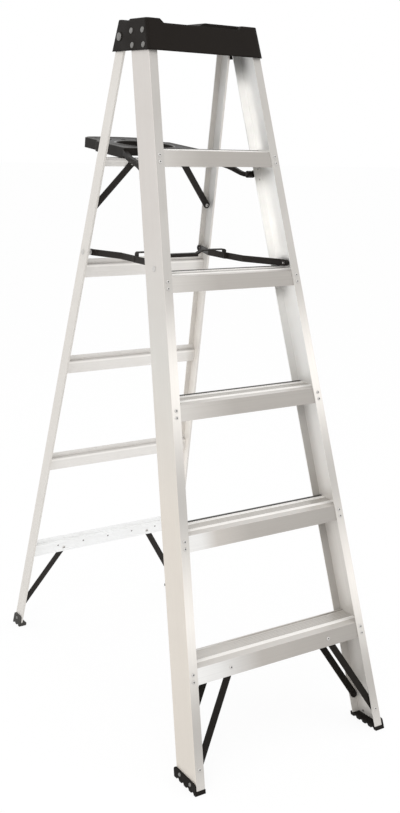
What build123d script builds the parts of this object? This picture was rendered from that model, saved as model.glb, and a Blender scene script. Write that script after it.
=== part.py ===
"""Folding stepladder with a pail shelf, modelled in its open position.

Millimetres, +Z up, the climbing side faces -Y and +X is on the right seen from there.
The right-hand pieces are modelled and the left-hand ones are their mirror images.
"""
import os
from math import cos, radians, sin, tan

from build123d import *

# Stance of the open ladder
front_lean = 16.87          # degrees from upright
rear_lean = 11.7
front_base_width = 575.3
front_taper = 3.97          # degrees each rail leans inwards, in the plane of its frame
rear_taper = 3.87
hinge_height = 1704.0
hinge_setback = 48.24       # hinge behind the front rails
hinge_side_gap = 0.9        # between a cap cheek and a rear rail

# Rails
front_depth = 82.0
front_flange = 24.0
front_wall = 2.0
rear_depth = 38.0
rear_lip = 6.5              # front flange of the rear rails
rear_flange = 18.0
rear_wall = 1.8
rear_pin_line = 15.5        # hinge and spreader posts, from the back face
rail_bend = 1.5             # outer bend radius
rail_run_out = 80.0         # stock beyond the floor, trimmed at the sole
rail_head_gap = 11.4        # between the front rails and the cap above them
rear_tip = 15.0             # rear rail above its hinge

# Steps
step_count = 5
first_step = 268.7          # top of the lowest tread
step_pitch = 304.8          # along the rails
step_wall = 2.0
skirt = 36.7
end_gap = 0.3               # between the end of a step or bar and a rail
ridge_rise = 1.4
ridge_centre = 29.0         # of the grip ridge, behind the front skirt
ridge_width = 4.0
rear_bead_rise = 2.4
rear_bead_width = 5.0
groove_count = 5
groove_depth = 0.6
groove_width = 2.0

# Rivets
rivet_radius = 2.4
rivet_fit = 0.05            # added to a hole round a rivet
head_radius = 4.6
head_rise = 2.0
head_crown = 0.62           # top of a head, part of its radius
tail = 1.6                  # formed end behind the last sheet
step_rivet_inset = 12.0     # from the outer face of the rail
step_rivet_drops = (10.5, 26.5)

# Knee braces
brace_width = 18.0
brace_thickness = 3.0
brace_end = 12.5            # from the rivet to the outer face of the rail
knee_reach = 120.0          # of the upper rivet from the rail
knee_top_drop = 18.0
knee_foot_height = 53.0
collar_radius = 6.5

# Feet
sole = 9.0
foot_plate = 4.0
front_foot_height = 24.0
foot_overhang = 1.5         # in front of the front rails and behind the rear rails, on the floor
front_foot_heel = 7.0
rear_foot_height = 33.0
rear_foot_toe = 3.0
foot_inner = 0.5            # sole beyond the flange edge
foot_fit = 0.2
foot_corner = 7.0
foot_rivet_height = 16.0
foot_rivet_inset = 19.0
rear_foot_rivet_height = 22.0
scallop_radius = 5.5
scallop_rise = 4.6

# Rear horizontals
bar_heights = (259.2, 542.7, 840.6, 1117.8, 1403.7)
bar_faces = (36.0, 36.0, 36.0, 36.0, 22.0)
bar_upstands = (14.0, 14.0, 14.0, 14.0, 0.0)
bar_wall = 1.6
bar_depth = 11.2
bar_back = 20.0
bar_rivet_drops = (5.0, 15.5)
lower_brace_reach = 116.0
lower_brace_drop = 22.0
lower_brace_foot = 63.0
upper_brace_reach = 101.0
upper_brace_drop = 12.0
upper_brace_fall = 126.7    # of the lower rivet below the top bar
upper_brace_end = 12.0

# Top cap
cap_above = 41.0            # over the hinge
cap_below = 35.0
cap_wall = 3.6
cheek_fit = 0.2
cap_nose = 8.7              # in front of the rails, at the bottom
cap_nose_draft = 26.0       # how far the front leans back
cap_tail = 36.5             # behind the hinge, at the bottom
cap_tail_draft = 23.0
cap_tail_relief = 14.0      # rear wall cut short between the rear rails
cap_corner = 10.0
cap_tail_corner = 5.0
cap_edge = 2.5
hump_width = 44.0           # raised ends, from the hinge plane inwards
hump_slope = 45.0           # degrees of their inner flanks from upright
rim_drop = 10.0
end_notch = 3.5             # shallow dip in the top of each end
end_notch_length = 46.0
tray_inset = 52.0
tray_depth = 20.0
tray_rim = 13.0
slot_fit = 2.4              # round the tips of the rear rails
holder_start = 5.0          # foot of the tool holder's flank, left of the middle
holder_flank = 21.0
holder_setback = 17.0       # behind the front edge of the top
cap_hole_radius = 19.0
cap_small_radius = 6.5
cap_small_step = 22.0
cap_slot = 34.0
cap_slot_width = 11.0
cap_rivet_radius = 3.2
cap_head_radius = 7.2
cap_rivet_insets = (17.5, 12.0)     # from the front and the back face of a front rail
cap_rivet_rises = (12.3, 47.0)      # over the bottom of the cap
hinge_radius = 5.0
hinge_head = 10.0
hinge_boss = 12.5
boss_rise = 0.3
running_fit = 0.05          # radial, at every pivot

# Spreader
spreader_front_depth = 39.0
spreader_rise = 14.2        # of the front pivots over the tread below
spreader_fall = 4.0         # of the rear pivots below the front ones
front_link_share = 0.523    # knuckle along the line between the pivots
knuckle_sag = 1.0
link_height = 17.0
link_thickness = 3.0
front_link_inset = 14.0     # inner face at the front pivot, from the outer face of the rail
rear_link_inset = 26.0      # inner face at the rear pivot, from the outer face of the rail
knuckle_inset = 53.8        # inner face of the crossbar ear, from that at the front pivot
layer_gap = 0.3             # between the bars on a knuckle pin
flat_front = 9.0
flat_knuckle = 78.0
flat_rear = 10.0
pivot_radius = 4.0
pivot_head = 7.5
pivot_end = 5.0             # formed inner ends of the pivots
pivot_head_rise = 2.2
spacer_radius = 8.0
post_gap = 0.5              # between a rear post and its link
arch_rise = 19.0            # of the crossbar strap above the knuckle pins
arch_bend = 6.0
strap_depth = 16.0
dip_depth = 8.5             # lowered middle of the strap
dip_half = 48.0
dip_flank = 18.0
strap_lip = 9.0

# Pail shelf
shelf_tilt = 4.5
shelf_rest_gap = 0.3
shelf_side_gap = 44.0       # to the flange edge of each rear rail
shelf_front = 34.0          # in front of the bar that it rests on
shelf_rear = 221.0
shelf_bow = 20.0            # of the rear edge
shelf_shoulder = 16.0       # step in each side
shelf_shoulder_reach = 130.0
shelf_height = 27.0
shelf_wall = 4.0
shelf_corner = 7.0
well_radius = 78.0
well_setback = 66.0         # centre of the well behind the bar
well_wall_height = 17.0
shelf_hole_radius = 8.0
shelf_hole_step = 46.0
front_bar_lift = 8.0
arm_thickness = 10.0
eye_radius = 9.0
eye_length = 14.0
eye_standoff = 11.0         # behind the back face of the rail
eye_drop = 22.8             # below the skirt of the top step
bracket_inset = 2.0         # from the outer face of the rail
bracket_width = 20.0
bracket_height = 40.0
bracket_wall = 2.5
bracket_pitch = 26.0        # between the rivets of a bracket
shelf_pin_radius = 4.0
shelf_washer = 1.5
shelf_washer_radius = 8.0
arm_root_inset = 3.0        # of the arm at the tray
arm_end = 36.0              # arm inside the tray
arm_stations = (            # part of the run, part of the rise, half of the height
    (0.12, 0.01, 5.5),
    (0.32, 0.30, 6.5),
    (0.43, 0.44, 7.0),
    (0.73, 0.66, 7.2),
    (0.90, 0.84, 7.4),
    (1.0, 1.0, 7.6),
)

os.makedirs("parts", exist_ok=True)
low = (Align.CENTER, Align.CENTER, Align.MIN)
high = (Align.CENTER, Align.CENTER, Align.MAX)
lean_f = radians(front_lean)
lean_r = radians(rear_lean)
taper_f = radians(front_taper)
taper_r = radians(rear_taper)
front_run = hinge_height * tan(lean_f) + front_depth / cos(lean_f) + hinge_setback
rear_run = hinge_height * tan(lean_r) + rear_pin_line / cos(lean_r)
half_spread = (front_run + rear_run) / 2
front_frame = Plane(origin=(0, -half_spread, 0), x_dir=(1, 0, 0), z_dir=(0, sin(lean_f), cos(lean_f)))
rear_frame = Plane(origin=(0, half_spread, 0), x_dir=(1, 0, 0), z_dir=(0, -sin(lean_r), cos(lean_r)))
side_view = Plane.YZ


def point(frame, x, depth, along):
    """A point of a leaning frame: across, through its depth and along its rails."""
    return frame.origin + frame.x_dir * x + frame.y_dir * depth + frame.z_dir * along


def along_at(frame, depth, height):
    """Distance along a frame at which a given depth reaches a height."""
    return (height - frame.y_dir.Z * depth) / frame.z_dir.Z


def flipped(plane):
    """Mirror image of a plane in the middle of the ladder."""
    origin = plane.origin
    across = plane.x_dir
    normal = plane.z_dir
    return Plane(
        origin=(-origin.X, origin.Y, origin.Z),
        x_dir=(-across.X, across.Y, across.Z),
        z_dir=(-normal.X, normal.Y, normal.Z),
    )


def both(planes):
    return planes + [flipped(plane) for plane in planes]


def section_plane(frame, half, taper):
    """Plane across a right-hand rail: X outwards, Y through the depth of the frame."""
    return Plane(
        origin=point(frame, half, 0, 0),
        x_dir=frame.x_dir * cos(taper) + frame.z_dir * sin(taper),
        z_dir=frame.z_dir * cos(taper) - frame.x_dir * sin(taper),
    )


def channel(near, far, near_flange, far_flange, wall):
    """Channel open on its inner side, outer face of the web at X = 0."""
    with BuildLine() as outline:
        Polyline(
            (0, near),
            (0, far),
            (-far_flange, far),
            (-far_flange, far - wall),
            (-wall, far - wall),
            (-wall, near + wall),
            (-near_flange, near + wall),
            (-near_flange, near),
            close=True,
        )
    make_face(outline.edges())


def trim_between(plane):
    """Keep what lies between a right-hand plane and its mirror image."""
    split(bisect_by=plane, keep=Keep.BOTTOM)
    split(bisect_by=flipped(plane), keep=Keep.BOTTOM)


def drill(planes, radius, length):
    with Locations(*planes):
        Cylinder(radius, length, mode=Mode.SUBTRACT)


def rivets(planes, radius, head, rise, grip):
    """Headed pins, each on a plane that faces outwards, with a shank behind it."""
    with Locations(*planes):
        Cone(head, head * head_crown, rise, align=low)
        Cylinder(radius, grip, align=high)


def collars(planes, radius, start, length):
    """Plain rings of stock behind a plane, from a given depth."""
    with Locations(*[plane.offset(-start) for plane in planes]):
        Cylinder(radius, length, align=high)


def export(part, name):
    part.label = name
    export_step(part, f"parts/{name}.step")


def export_pair(part, stem):
    export(part, f"{stem}_right")
    with BuildPart() as left:
        mirror(part, about=Plane.YZ)
    export(left.part, f"{stem}_left")


def front_half(along):
    return front_base_width / 2 - along * tan(taper_f)


hinge_along = along_at(rear_frame, -rear_pin_line, hinge_height)
hinge = point(rear_frame, 0, -rear_pin_line, hinge_along)
hinge_half = front_half((hinge - front_frame.origin).dot(front_frame.z_dir))


def rear_half(along):
    return hinge_half - hinge_side_gap + (hinge_along - along) * tan(taper_r)


front_section = section_plane(front_frame, front_half(0), taper_f)
rear_section = section_plane(rear_frame, rear_half(0), taper_r)
front_web = Plane(origin=front_section.origin, x_dir=front_section.y_dir, z_dir=front_section.x_dir)
rear_web = Plane(origin=rear_section.origin, x_dir=rear_section.y_dir, z_dir=rear_section.x_dir)
cap_top = hinge_height + cap_above
cap_bottom = hinge_height - cap_below
rail_top = cap_top - cap_wall - rail_head_gap
step_tops = [first_step + i * step_pitch * cos(lean_f) for i in range(step_count)]


def front_y(depth, height):
    """Y of a depth of the front frame at a height."""
    return point(front_frame, 0, depth, along_at(front_frame, depth, height)).Y


def front_spot(height, inset, depth, face):
    """Plane on a front rail flange: face -1 looks forward, 1 looks back."""
    along = along_at(front_frame, depth, height)
    return Plane(
        origin=point(front_frame, front_half(along) - inset, depth, along),
        x_dir=(1, 0, 0),
        z_dir=front_frame.y_dir * face,
    )


def web_spot(section, web, depth, height):
    """Plane on the outer face of a rail web, at a depth and a height."""
    base = section.origin + section.y_dir * depth
    run = (height - base.Z) / section.z_dir.Z
    return Plane(origin=base + section.z_dir * run, x_dir=section.y_dir, z_dir=web.z_dir)


def step_spots(top):
    """Rivet planes of one step on the right-hand rail, front and back."""
    front = [front_spot(top - drop, step_rivet_inset, 0, -1) for drop in step_rivet_drops]
    back = [front_spot(top - drop, step_rivet_inset, front_depth, 1) for drop in step_rivet_drops]
    return front + back


rivet_hole = rivet_radius + rivet_fit
step_grip = front_wall + step_wall + tail
all_step_spots = [spot for top in step_tops for spot in step_spots(top)]

# Pivots on the rails, all with axes across the ladder
spreader_height = step_tops[-2] + spreader_rise
front_pivot_along = along_at(front_frame, spreader_front_depth, spreader_height)
front_pivot = point(front_frame, 0, spreader_front_depth, front_pivot_along)
rear_pivot_along = along_at(rear_frame, -rear_pin_line, spreader_height - spreader_fall)
rear_pivot = point(rear_frame, 0, -rear_pin_line, rear_pivot_along)
knuckle = front_pivot + (rear_pivot - front_pivot) * front_link_share - Vector(0, 0, knuckle_sag)
eye_depth = front_depth + eye_standoff
eye = point(front_frame, 0, eye_depth, along_at(front_frame, eye_depth, step_tops[-1] - skirt - eye_drop))


def across(place, x):
    """Plane at a distance across the ladder that faces outwards on the right."""
    return Plane(origin=(x, place.Y, place.Z), x_dir=(0, 1, 0), z_dir=(1, 0, 0))


def web_x(web, place):
    """Outer face of a right-hand web at a place seen from the side."""
    normal = web.z_dir
    rest = (Vector(0, place.Y, place.Z) - web.origin).dot(normal)
    return -rest / normal.X


# Knee braces of the bottom step
knee_low = step_tops[0] - knee_top_drop
knee_depth_front = front_wall + step_wall
knee_depth_back = front_depth - knee_depth_front


def layer_spot(frame, x, along, depth, face):
    """Plane at a depth of a frame: face -1 looks forward, 1 looks back."""
    return Plane(origin=point(frame, x, depth, along), x_dir=(1, 0, 0), z_dir=frame.y_dir * face)


def near_face(depth):
    """Depth of the front or the back face of the front rails, whichever is nearer."""
    return 0 if depth < front_depth / 2 else front_depth


def knee_spot(depth, face):
    along = along_at(front_frame, near_face(depth), knee_foot_height)
    return layer_spot(front_frame, front_half(along) - brace_end, along, depth, face)


def skirt_spot(depth, face):
    along = along_at(front_frame, near_face(depth), knee_low)
    return layer_spot(front_frame, front_half(along) - knee_reach, along, depth, face)


def flat_bar(first, last, normal):
    """Flat bar with round ends and rivet holes between two points on one of its faces."""
    with BuildSketch(Plane(origin=(first + last) * 0.5, x_dir=last - first, z_dir=normal)) as bar_face:
        SlotCenterToCenter((last - first).length, brace_width)
    extrude(bar_face.sketch, amount=brace_thickness)
    ends = [Plane(origin=place, z_dir=normal) for place in (first, last)]
    drill(ends, rivet_hole, brace_thickness * 4)


knee_front_ends = (skirt_spot(knee_depth_front, 1), knee_spot(knee_depth_front, 1))
knee_back_ends = (skirt_spot(knee_depth_back, -1), knee_spot(knee_depth_back, -1))
knee_rivets_top = [skirt_spot(front_wall, -1), skirt_spot(front_depth - front_wall, 1)]
knee_rivets_low = [knee_spot(0, -1), knee_spot(front_depth, 1)]
cap_spots = [
    web_spot(front_section, front_web, depth, height)
    for depth in (cap_rivet_insets[0], front_depth - cap_rivet_insets[1])
    for height in [cap_bottom + rise for rise in cap_rivet_rises]
]
foot_spots = [
    web_spot(front_section, front_web, depth, foot_rivet_height)
    for depth in (foot_rivet_inset, front_depth - foot_rivet_inset)
]
rear_foot_spots = [web_spot(rear_section, rear_web, -rear_depth / 2, rear_foot_rivet_height)]
cap_hole = cap_rivet_radius + rivet_fit
bracket_spots = [
    front_spot(eye.Z + rise, bracket_inset + bracket_width * 0.4, front_depth, 1)
    for rise in (-bracket_pitch / 2, bracket_pitch / 2)
]

# Front rails
with BuildPart() as front_rail:
    with BuildSketch(front_section.offset(-rail_run_out)) as front_outline:
        channel(0, front_depth, front_flange, front_flange, front_wall)
        fillet(front_outline.vertices().filter_by_position(Axis.X, -0.01, 0.01), rail_bend)
    extrude(amount=rail_run_out + rail_top * 1.2)
    split(bisect_by=Plane.XY.offset(sole), keep=Keep.TOP)
    split(bisect_by=Plane.XY.offset(rail_top), keep=Keep.BOTTOM)
    drill(all_step_spots + knee_rivets_low + bracket_spots, rivet_hole, front_wall * 4)
    drill(foot_spots, rivet_hole, front_wall * 4)
    drill(cap_spots, cap_hole, front_wall * 4)
    drill([across(front_pivot, web_x(front_web, front_pivot))], pivot_radius + rivet_fit, front_wall * 6)
export_pair(front_rail.part, "front_rail")

# Steps
for number, top in enumerate(step_tops, 1):
    tread_front = front_y(front_wall, top)
    tread_back = front_y(front_depth - front_wall, top)
    shift = skirt * tan(lean_f)
    inset = step_wall / cos(lean_f)
    inner_rise = (skirt - step_wall) * tan(lean_f)
    drop = step_wall * tan(lean_f)
    with BuildPart() as step:
        with BuildSketch(side_view):
            with BuildLine():
                Polyline(
                    (tread_front, top),
                    (tread_back, top),
                    (tread_back - shift, top - skirt),
                    (tread_back - shift - inset, top - skirt),
                    (tread_back - drop - inset, top - step_wall),
                    (tread_front - drop + inset, top - step_wall),
                    (tread_front - shift + inset, top - skirt),
                    (tread_front - shift, top - skirt),
                    close=True,
                )
            make_face()
            with Locations((tread_front + ridge_centre, top)):
                Trapezoid(ridge_width, ridge_rise, 60, align=(Align.CENTER, Align.MIN))
            with Locations((tread_back - rear_bead_width, top)):
                Trapezoid(rear_bead_width, rear_bead_rise, 70, align=(Align.CENTER, Align.MIN))
            groove_start = tread_front + ridge_centre + ridge_width
            groove_step = (tread_back - 2 * rear_bead_width - groove_start) / (groove_count + 1)
            with Locations(*[(groove_start + (i + 1) * groove_step, top) for i in range(groove_count)]):
                Rectangle(groove_width, 2 * groove_depth, mode=Mode.SUBTRACT)
        extrude(amount=front_base_width, both=True)
        trim_between(front_web.offset(-front_wall - end_gap))
        drill(both(step_spots(top)), rivet_hole, front_wall * 6)
        if number == 1:
            drill(both(knee_rivets_top), rivet_hole, front_wall * 4)
    export(step.part, f"step_{number}")

# Knee braces
with BuildPart() as knee_front:
    flat_bar(knee_front_ends[0].origin, knee_front_ends[1].origin, front_frame.y_dir)
export_pair(knee_front.part, "knee_brace_front")

with BuildPart() as knee_back:
    flat_bar(knee_back_ends[0].origin, knee_back_ends[1].origin, -front_frame.y_dir)
export_pair(knee_back.part, "knee_brace_back")


def foot(section, web, near, far, flange, toe, heel, height, spots):
    """Boot under a rail: a sole and a plate outside the web, scalloped below."""
    with BuildSketch(section.offset(-rail_run_out)) as block:
        with Locations(((foot_plate - flange - foot_inner) / 2, (near - toe + far + heel) / 2)):
            Rectangle(foot_plate + flange + foot_inner, far - near + toe + heel)
    extrude(block.sketch, amount=2 * rail_run_out)
    split(bisect_by=Plane.XY, keep=Keep.TOP)
    split(bisect_by=Plane.XY.offset(sole), keep=Keep.BOTTOM)
    across_z = section.y_dir.Z
    along_z = section.z_dir.Z
    outline = [(near - toe, 0), (far + heel, 0), (far + heel, height), (near - toe, height)]
    with BuildSketch(web.offset(foot_fit)) as side_plate:
        Polygon(*[(depth, (level - across_z * depth) / along_z) for depth, level in outline], align=None)
        tops = side_plate.vertices().filter_by(lambda spot: across_z * spot.X + along_z * spot.Y > height / 2)
        fillet(tops, foot_corner)
    extrude(side_plate.sketch, amount=foot_plate - foot_fit)
    drill(spots, rivet_hole, foot_plate * 6)


def scallops(centre_x, start, stop, count):
    """Round flutes across the underside of a sole."""
    spacing = (stop - start) / count
    level = scallop_rise - scallop_radius
    centres = [Vector(0, start + (i + 0.5) * spacing, level) for i in range(count)]
    with Locations(*[across(centre, centre_x) for centre in centres]):
        Cylinder(scallop_radius, front_base_width / 2, mode=Mode.SUBTRACT)


with BuildPart() as front_foot:
    foot(
        front_section, front_web, 0, front_depth, front_flange,
        foot_overhang * cos(lean_f), front_foot_heel, front_foot_height, foot_spots,
    )
    floor_start = -half_spread + foot_overhang
    scallops(front_half(0), floor_start, floor_start + front_depth / cos(lean_f), 4)
export_pair(front_foot.part, "front_foot")

with BuildPart() as rear_foot:
    foot(
        rear_section, rear_web, -rear_depth, 0, rear_flange,
        rear_foot_toe, foot_overhang * cos(lean_r), rear_foot_height, rear_foot_spots,
    )
    scallops(rear_half(0), half_spread - rear_depth / cos(lean_r), half_spread, 2)
export_pair(rear_foot.part, "rear_foot")

# Top cap
cheek_inner = front_web.offset(cheek_fit)
cheek_outer = front_web.offset(cheek_fit + cap_wall)
rail_face = front_y(0, cap_bottom)
cap_front = (rail_face - cap_nose, rail_face - cap_nose + cap_nose_draft)
cap_rear = (hinge.Y + cap_tail, hinge.Y + cap_tail - cap_tail_draft)
cap_middle = (cap_front[1] + cap_rear[1]) / 2
hump_inner = hinge_half - hump_width
rim_half = hump_inner + rim_drop * tan(radians(hump_slope))
tray_half = hinge_half - tray_inset
tray_width = tray_half - holder_start - tray_rim
tray_floor = cap_top - tray_depth
tray_ceiling = tray_floor - cap_wall
end_ceiling = cap_top - end_notch - cap_wall
rim_level = cap_top - rim_drop
rim_ceiling = rim_level - cap_wall
holder_left = holder_flank - holder_start
holder_front = cap_front[1] + holder_setback
holder_middle = (holder_left + hump_inner) / 2
cap_reach = front_base_width
corner_low = (Align.MIN, Align.CENTER, Align.MIN)


def cap_wall_y(ends, height):
    """Y of the front or rear face of the cap at a height."""
    return ends[0] + (ends[1] - ends[0]) * (height - cap_bottom) / (cap_top - cap_bottom)


def upright_edges(builder):
    """Corner edges of a block from the front to the rear."""
    return builder.edges().filter_by(lambda edge: abs(edge.tangent_at(0.5).Z) > 0.8).sort_by(Axis.Y)


slot_inner = rear_half(hinge_along) - rear_flange - slot_fit
tip_reach = (rear_tip**2 + (rear_depth - rear_pin_line) ** 2) ** 0.5 + slot_fit
slot_height = cap_below + tip_reach + 1
with BuildPart() as cap_hollow:
    with BuildSketch(side_view):
        with BuildLine():
            Polyline(
                (cap_front[0] + cap_wall, cap_bottom - 1),
                (cap_rear[0] - cap_wall, cap_bottom - 1),
                (cap_wall_y(cap_rear, end_ceiling) - cap_wall, end_ceiling),
                (cap_wall_y(cap_front, end_ceiling) + cap_wall, end_ceiling),
                close=True,
            )
        make_face()
    extrude(amount=cap_reach, both=True)
    for side in (Align.MIN, Align.MAX):
        slot_x = slot_inner if side == Align.MIN else -slot_inner
        with Locations((slot_x, hinge.Y, cap_bottom - 1)):
            Box(cap_reach, 4 * rear_depth, slot_height, align=(side, Align.MIN, Align.MIN))
    trim_between(cheek_inner)
    with Locations((-tray_half - cap_wall, 0, tray_ceiling)):
        Box(tray_width + 2 * cap_wall, cap_reach, cap_top, align=corner_low, mode=Mode.SUBTRACT)
    with Locations((-rim_half - cap_wall, 0, rim_ceiling)):
        Box(rim_half + holder_left + 2 * cap_wall, cap_reach, cap_top, align=corner_low, mode=Mode.SUBTRACT)
    with Locations((-rim_half - cap_wall, holder_front + cap_wall - cap_reach / 2, rim_ceiling)):
        Box(2 * (rim_half + cap_wall), cap_reach, cap_top, align=corner_low, mode=Mode.SUBTRACT)

with BuildPart() as top_cap:
    with BuildSketch(side_view):
        with BuildLine():
            Polyline(
                (cap_front[0], cap_bottom),
                (cap_rear[0], cap_bottom),
                (cap_rear[1], cap_top),
                (cap_front[1], cap_top),
                close=True,
            )
        make_face()
    extrude(amount=cap_reach, both=True)
    trim_between(cheek_outer)
    fillet(upright_edges(top_cap)[:2], cap_corner)
    fillet(upright_edges(top_cap)[-2:], cap_tail_corner)
    fillet(top_cap.faces().sort_by(Axis.Z)[-1].edges(), cap_edge)
    with BuildSketch(Plane.XZ.offset(-holder_front)):
        with Locations((0, cap_top)):
            Trapezoid(2 * hump_inner, rim_drop, 90 + hump_slope, align=(Align.CENTER, Align.MAX))
    extrude(amount=cap_reach, mode=Mode.SUBTRACT)
    with BuildSketch(Plane.XZ):
        with BuildLine():
            Polyline(
                (-rim_half, cap_top),
                (-hump_inner, rim_level),
                (-holder_start, rim_level),
                (holder_left, cap_top),
                close=True,
            )
        make_face()
    extrude(amount=cap_reach, both=True, mode=Mode.SUBTRACT)
    for side in (-1, 1):
        with BuildSketch(side_view.offset(side * (rim_half + rim_drop))):
            with Locations((hinge.Y - end_notch_length / 2, cap_top)):
                Trapezoid(end_notch_length, end_notch, 90 + hump_slope, align=(Align.CENTER, Align.MAX))
        extrude(amount=side * cap_reach, mode=Mode.SUBTRACT)
    with BuildSketch(Plane.XY.offset(tray_floor)):
        with Locations((tray_width / 2 - tray_half, cap_middle)):
            RectangleRounded(tray_width, cap_rear[1] - cap_front[1] - 2 * tray_rim, cap_corner)
    extrude(amount=cap_top, mode=Mode.SUBTRACT)
    add(cap_hollow.part, mode=Mode.SUBTRACT)
    with BuildSketch(Plane.XY.offset(tray_floor)):
        with Locations((tray_width / 2 - tray_half, cap_middle)):
            Circle(cap_hole_radius)
    extrude(amount=cap_wall * 3, both=True, mode=Mode.SUBTRACT)
    with BuildSketch(Plane.XY.offset(cap_top)):
        with Locations((holder_middle, cap_middle + 2 * cap_hole_radius - cap_small_radius)):
            with GridLocations(cap_small_step, 0, 3, 1):
                Circle(cap_small_radius)
        with Locations((holder_middle, cap_middle)):
            with GridLocations(1.5 * cap_slot, 0, 2, 1):
                SlotOverall(cap_slot, cap_slot_width)
    extrude(amount=-(end_notch + cap_wall) * 1.5, mode=Mode.SUBTRACT)
    with Locations((0, hinge.Y, cap_bottom)):
        Box(
            2 * slot_inner,
            4 * rear_depth,
            cap_tail_relief,
            align=(Align.CENTER, Align.MIN, Align.MIN),
            mode=Mode.SUBTRACT,
        )
    drill(both(cap_spots), cap_hole, cap_wall * 6)
    boss_foot = hinge + Vector(0, 0, -hinge_boss)
    boss_face = web_x(cheek_outer, boss_foot) + boss_rise
    with Locations(*both([across(hinge, boss_face)])):
        Cylinder(hinge_boss, boss_face - web_x(cheek_inner, boss_foot), align=high)
    drill(both([across(hinge, boss_face)]), hinge_radius + rivet_fit, cap_wall * 8)
export(top_cap.part, "top_cap")

# Rear rails
bar_rear = -rear_wall
bar_front = bar_rear - bar_depth


def bar_along(height):
    return along_at(rear_frame, bar_front, height)


def bar_spots(height):
    """Rivet planes of one rear horizontal on the back face of the right-hand rear rail."""
    along = bar_along(height)
    places = []
    for drop in bar_rivet_drops:
        run = along - drop
        places.append(
            Plane(
                origin=point(rear_frame, rear_half(run) - rear_flange / 2, 0, run),
                x_dir=(1, 0, 0),
                z_dir=rear_frame.y_dir,
            )
        )
    return places


all_bar_spots = [spot for height in bar_heights for spot in bar_spots(height)]
lower_brace_depth = bar_front + bar_wall
upper_brace_depth = bar_front


def bar_spot(x, height, depth):
    return layer_spot(rear_frame, x, bar_along(height), depth, -1)


def rear_spot(height, inset, depth, face):
    along = bar_along(height)
    return layer_spot(rear_frame, rear_half(along) - inset, along, depth, face)


lower_top = bar_heights[0] - lower_brace_drop
upper_top = bar_heights[-1] - upper_brace_drop
lower_brace_x = rear_half(bar_along(lower_top)) - lower_brace_reach
upper_brace_x = rear_half(bar_along(upper_top)) - upper_brace_reach
upper_low = bar_heights[-1] - upper_brace_fall
lower_low_spot = rear_spot(lower_brace_foot, brace_end, 0, 1)
upper_low_spot = rear_spot(upper_low, upper_brace_end, bar_front - brace_thickness, -1)
flange_low_spots = [lower_low_spot, rear_spot(upper_low, upper_brace_end, 0, 1)]
with BuildPart() as rear_rail:
    with BuildSketch(rear_section.offset(-rail_run_out)) as rear_outline:
        channel(-rear_depth, 0, rear_lip, rear_flange, rear_wall)
        fillet(rear_outline.vertices().filter_by_position(Axis.X, -0.01, 0.01), rail_bend)
    extrude(amount=rail_run_out + hinge_along / cos(taper_r) + rear_tip)
    split(bisect_by=Plane.XY.offset(sole), keep=Keep.TOP)
    drill(all_bar_spots + flange_low_spots, rivet_hole, rear_wall * 4)
    drill(rear_foot_spots, rivet_hole, rear_wall * 4)
    drill([across(hinge, web_x(rear_web, hinge))], hinge_radius + running_fit, rear_wall * 6)
    drill([across(rear_pivot, web_x(rear_web, rear_pivot))], pivot_radius + rivet_fit, rear_wall * 6)
export_pair(rear_rail.part, "rear_rail")

# Rear horizontals
for number, (height, face, upstand) in enumerate(zip(bar_heights, bar_faces, bar_upstands), 1):
    bar_origin = point(rear_frame, 0, 0, bar_along(height))
    bar_plane = Plane(origin=bar_origin, x_dir=rear_frame.y_dir, z_dir=(1, 0, 0))
    with BuildPart() as bar:
        with BuildSketch(bar_plane):
            with Locations((bar_front, 0)):
                Rectangle(bar_wall, face, align=(Align.MIN, Align.MAX))
                Rectangle(bar_rear - bar_front, bar_wall, align=(Align.MIN, Align.MAX))
            with Locations((bar_rear, -bar_back)):
                Rectangle(bar_wall, bar_back + upstand, align=(Align.MAX, Align.MIN))
        extrude(amount=front_base_width, both=True)
        trim_between(rear_web.offset(-rear_wall - end_gap))
        drill(both(bar_spots(height)), rivet_hole, rear_wall * 6)
        if number == 1:
            drill(both([bar_spot(lower_brace_x, lower_top, bar_front)]), rivet_hole, bar_wall * 4)
        if number == len(bar_heights):
            drill(both([bar_spot(upper_brace_x, upper_top, bar_front)]), rivet_hole, bar_wall * 4)
    export(bar.part, f"rear_horizontal_{number}")

# Braces of the rear section
with BuildPart() as lower_brace:
    flat_bar(
        bar_spot(lower_brace_x, lower_top, lower_brace_depth).origin,
        rear_spot(lower_brace_foot, brace_end, lower_brace_depth, -1).origin,
        rear_frame.y_dir,
    )
export_pair(lower_brace.part, "lower_rear_brace")

with BuildPart() as upper_brace:
    flat_bar(
        bar_spot(upper_brace_x, upper_top, upper_brace_depth).origin,
        rear_spot(upper_low, upper_brace_end, upper_brace_depth, -1).origin,
        -rear_frame.y_dir,
    )
export_pair(upper_brace.part, "upper_rear_brace")

# Rivets of the front section
with BuildPart() as step_rivets:
    rivets(both(all_step_spots), rivet_radius, head_radius, head_rise, step_grip)
export(step_rivets.part, "step_rivets")

with BuildPart() as knee_rivets:
    rivets(both(knee_rivets_top), rivet_radius, head_radius, head_rise, step_wall + brace_thickness + tail)
    knee_grip = knee_depth_front + brace_thickness + tail
    rivets(both(knee_rivets_low), rivet_radius, head_radius, head_rise, knee_grip)
    collars(both(knee_rivets_low), collar_radius, front_wall, step_wall)
export(knee_rivets.part, "knee_brace_rivets")

with BuildPart() as foot_rivets:
    foot_heads = [spot.offset(foot_plate) for spot in foot_spots]
    rivets(both(foot_heads), rivet_radius, head_radius, head_rise, foot_plate + front_wall + tail)
export(foot_rivets.part, "front_foot_rivets")

with BuildPart() as cap_rivets:
    cap_heads = [spot.offset(cheek_fit + cap_wall) for spot in cap_spots]
    cap_grip = cheek_fit + cap_wall + front_wall + tail
    rivets(both(cap_heads), cap_rivet_radius, cap_head_radius, head_rise, cap_grip)
export(cap_rivets.part, "cap_rivets")

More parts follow.
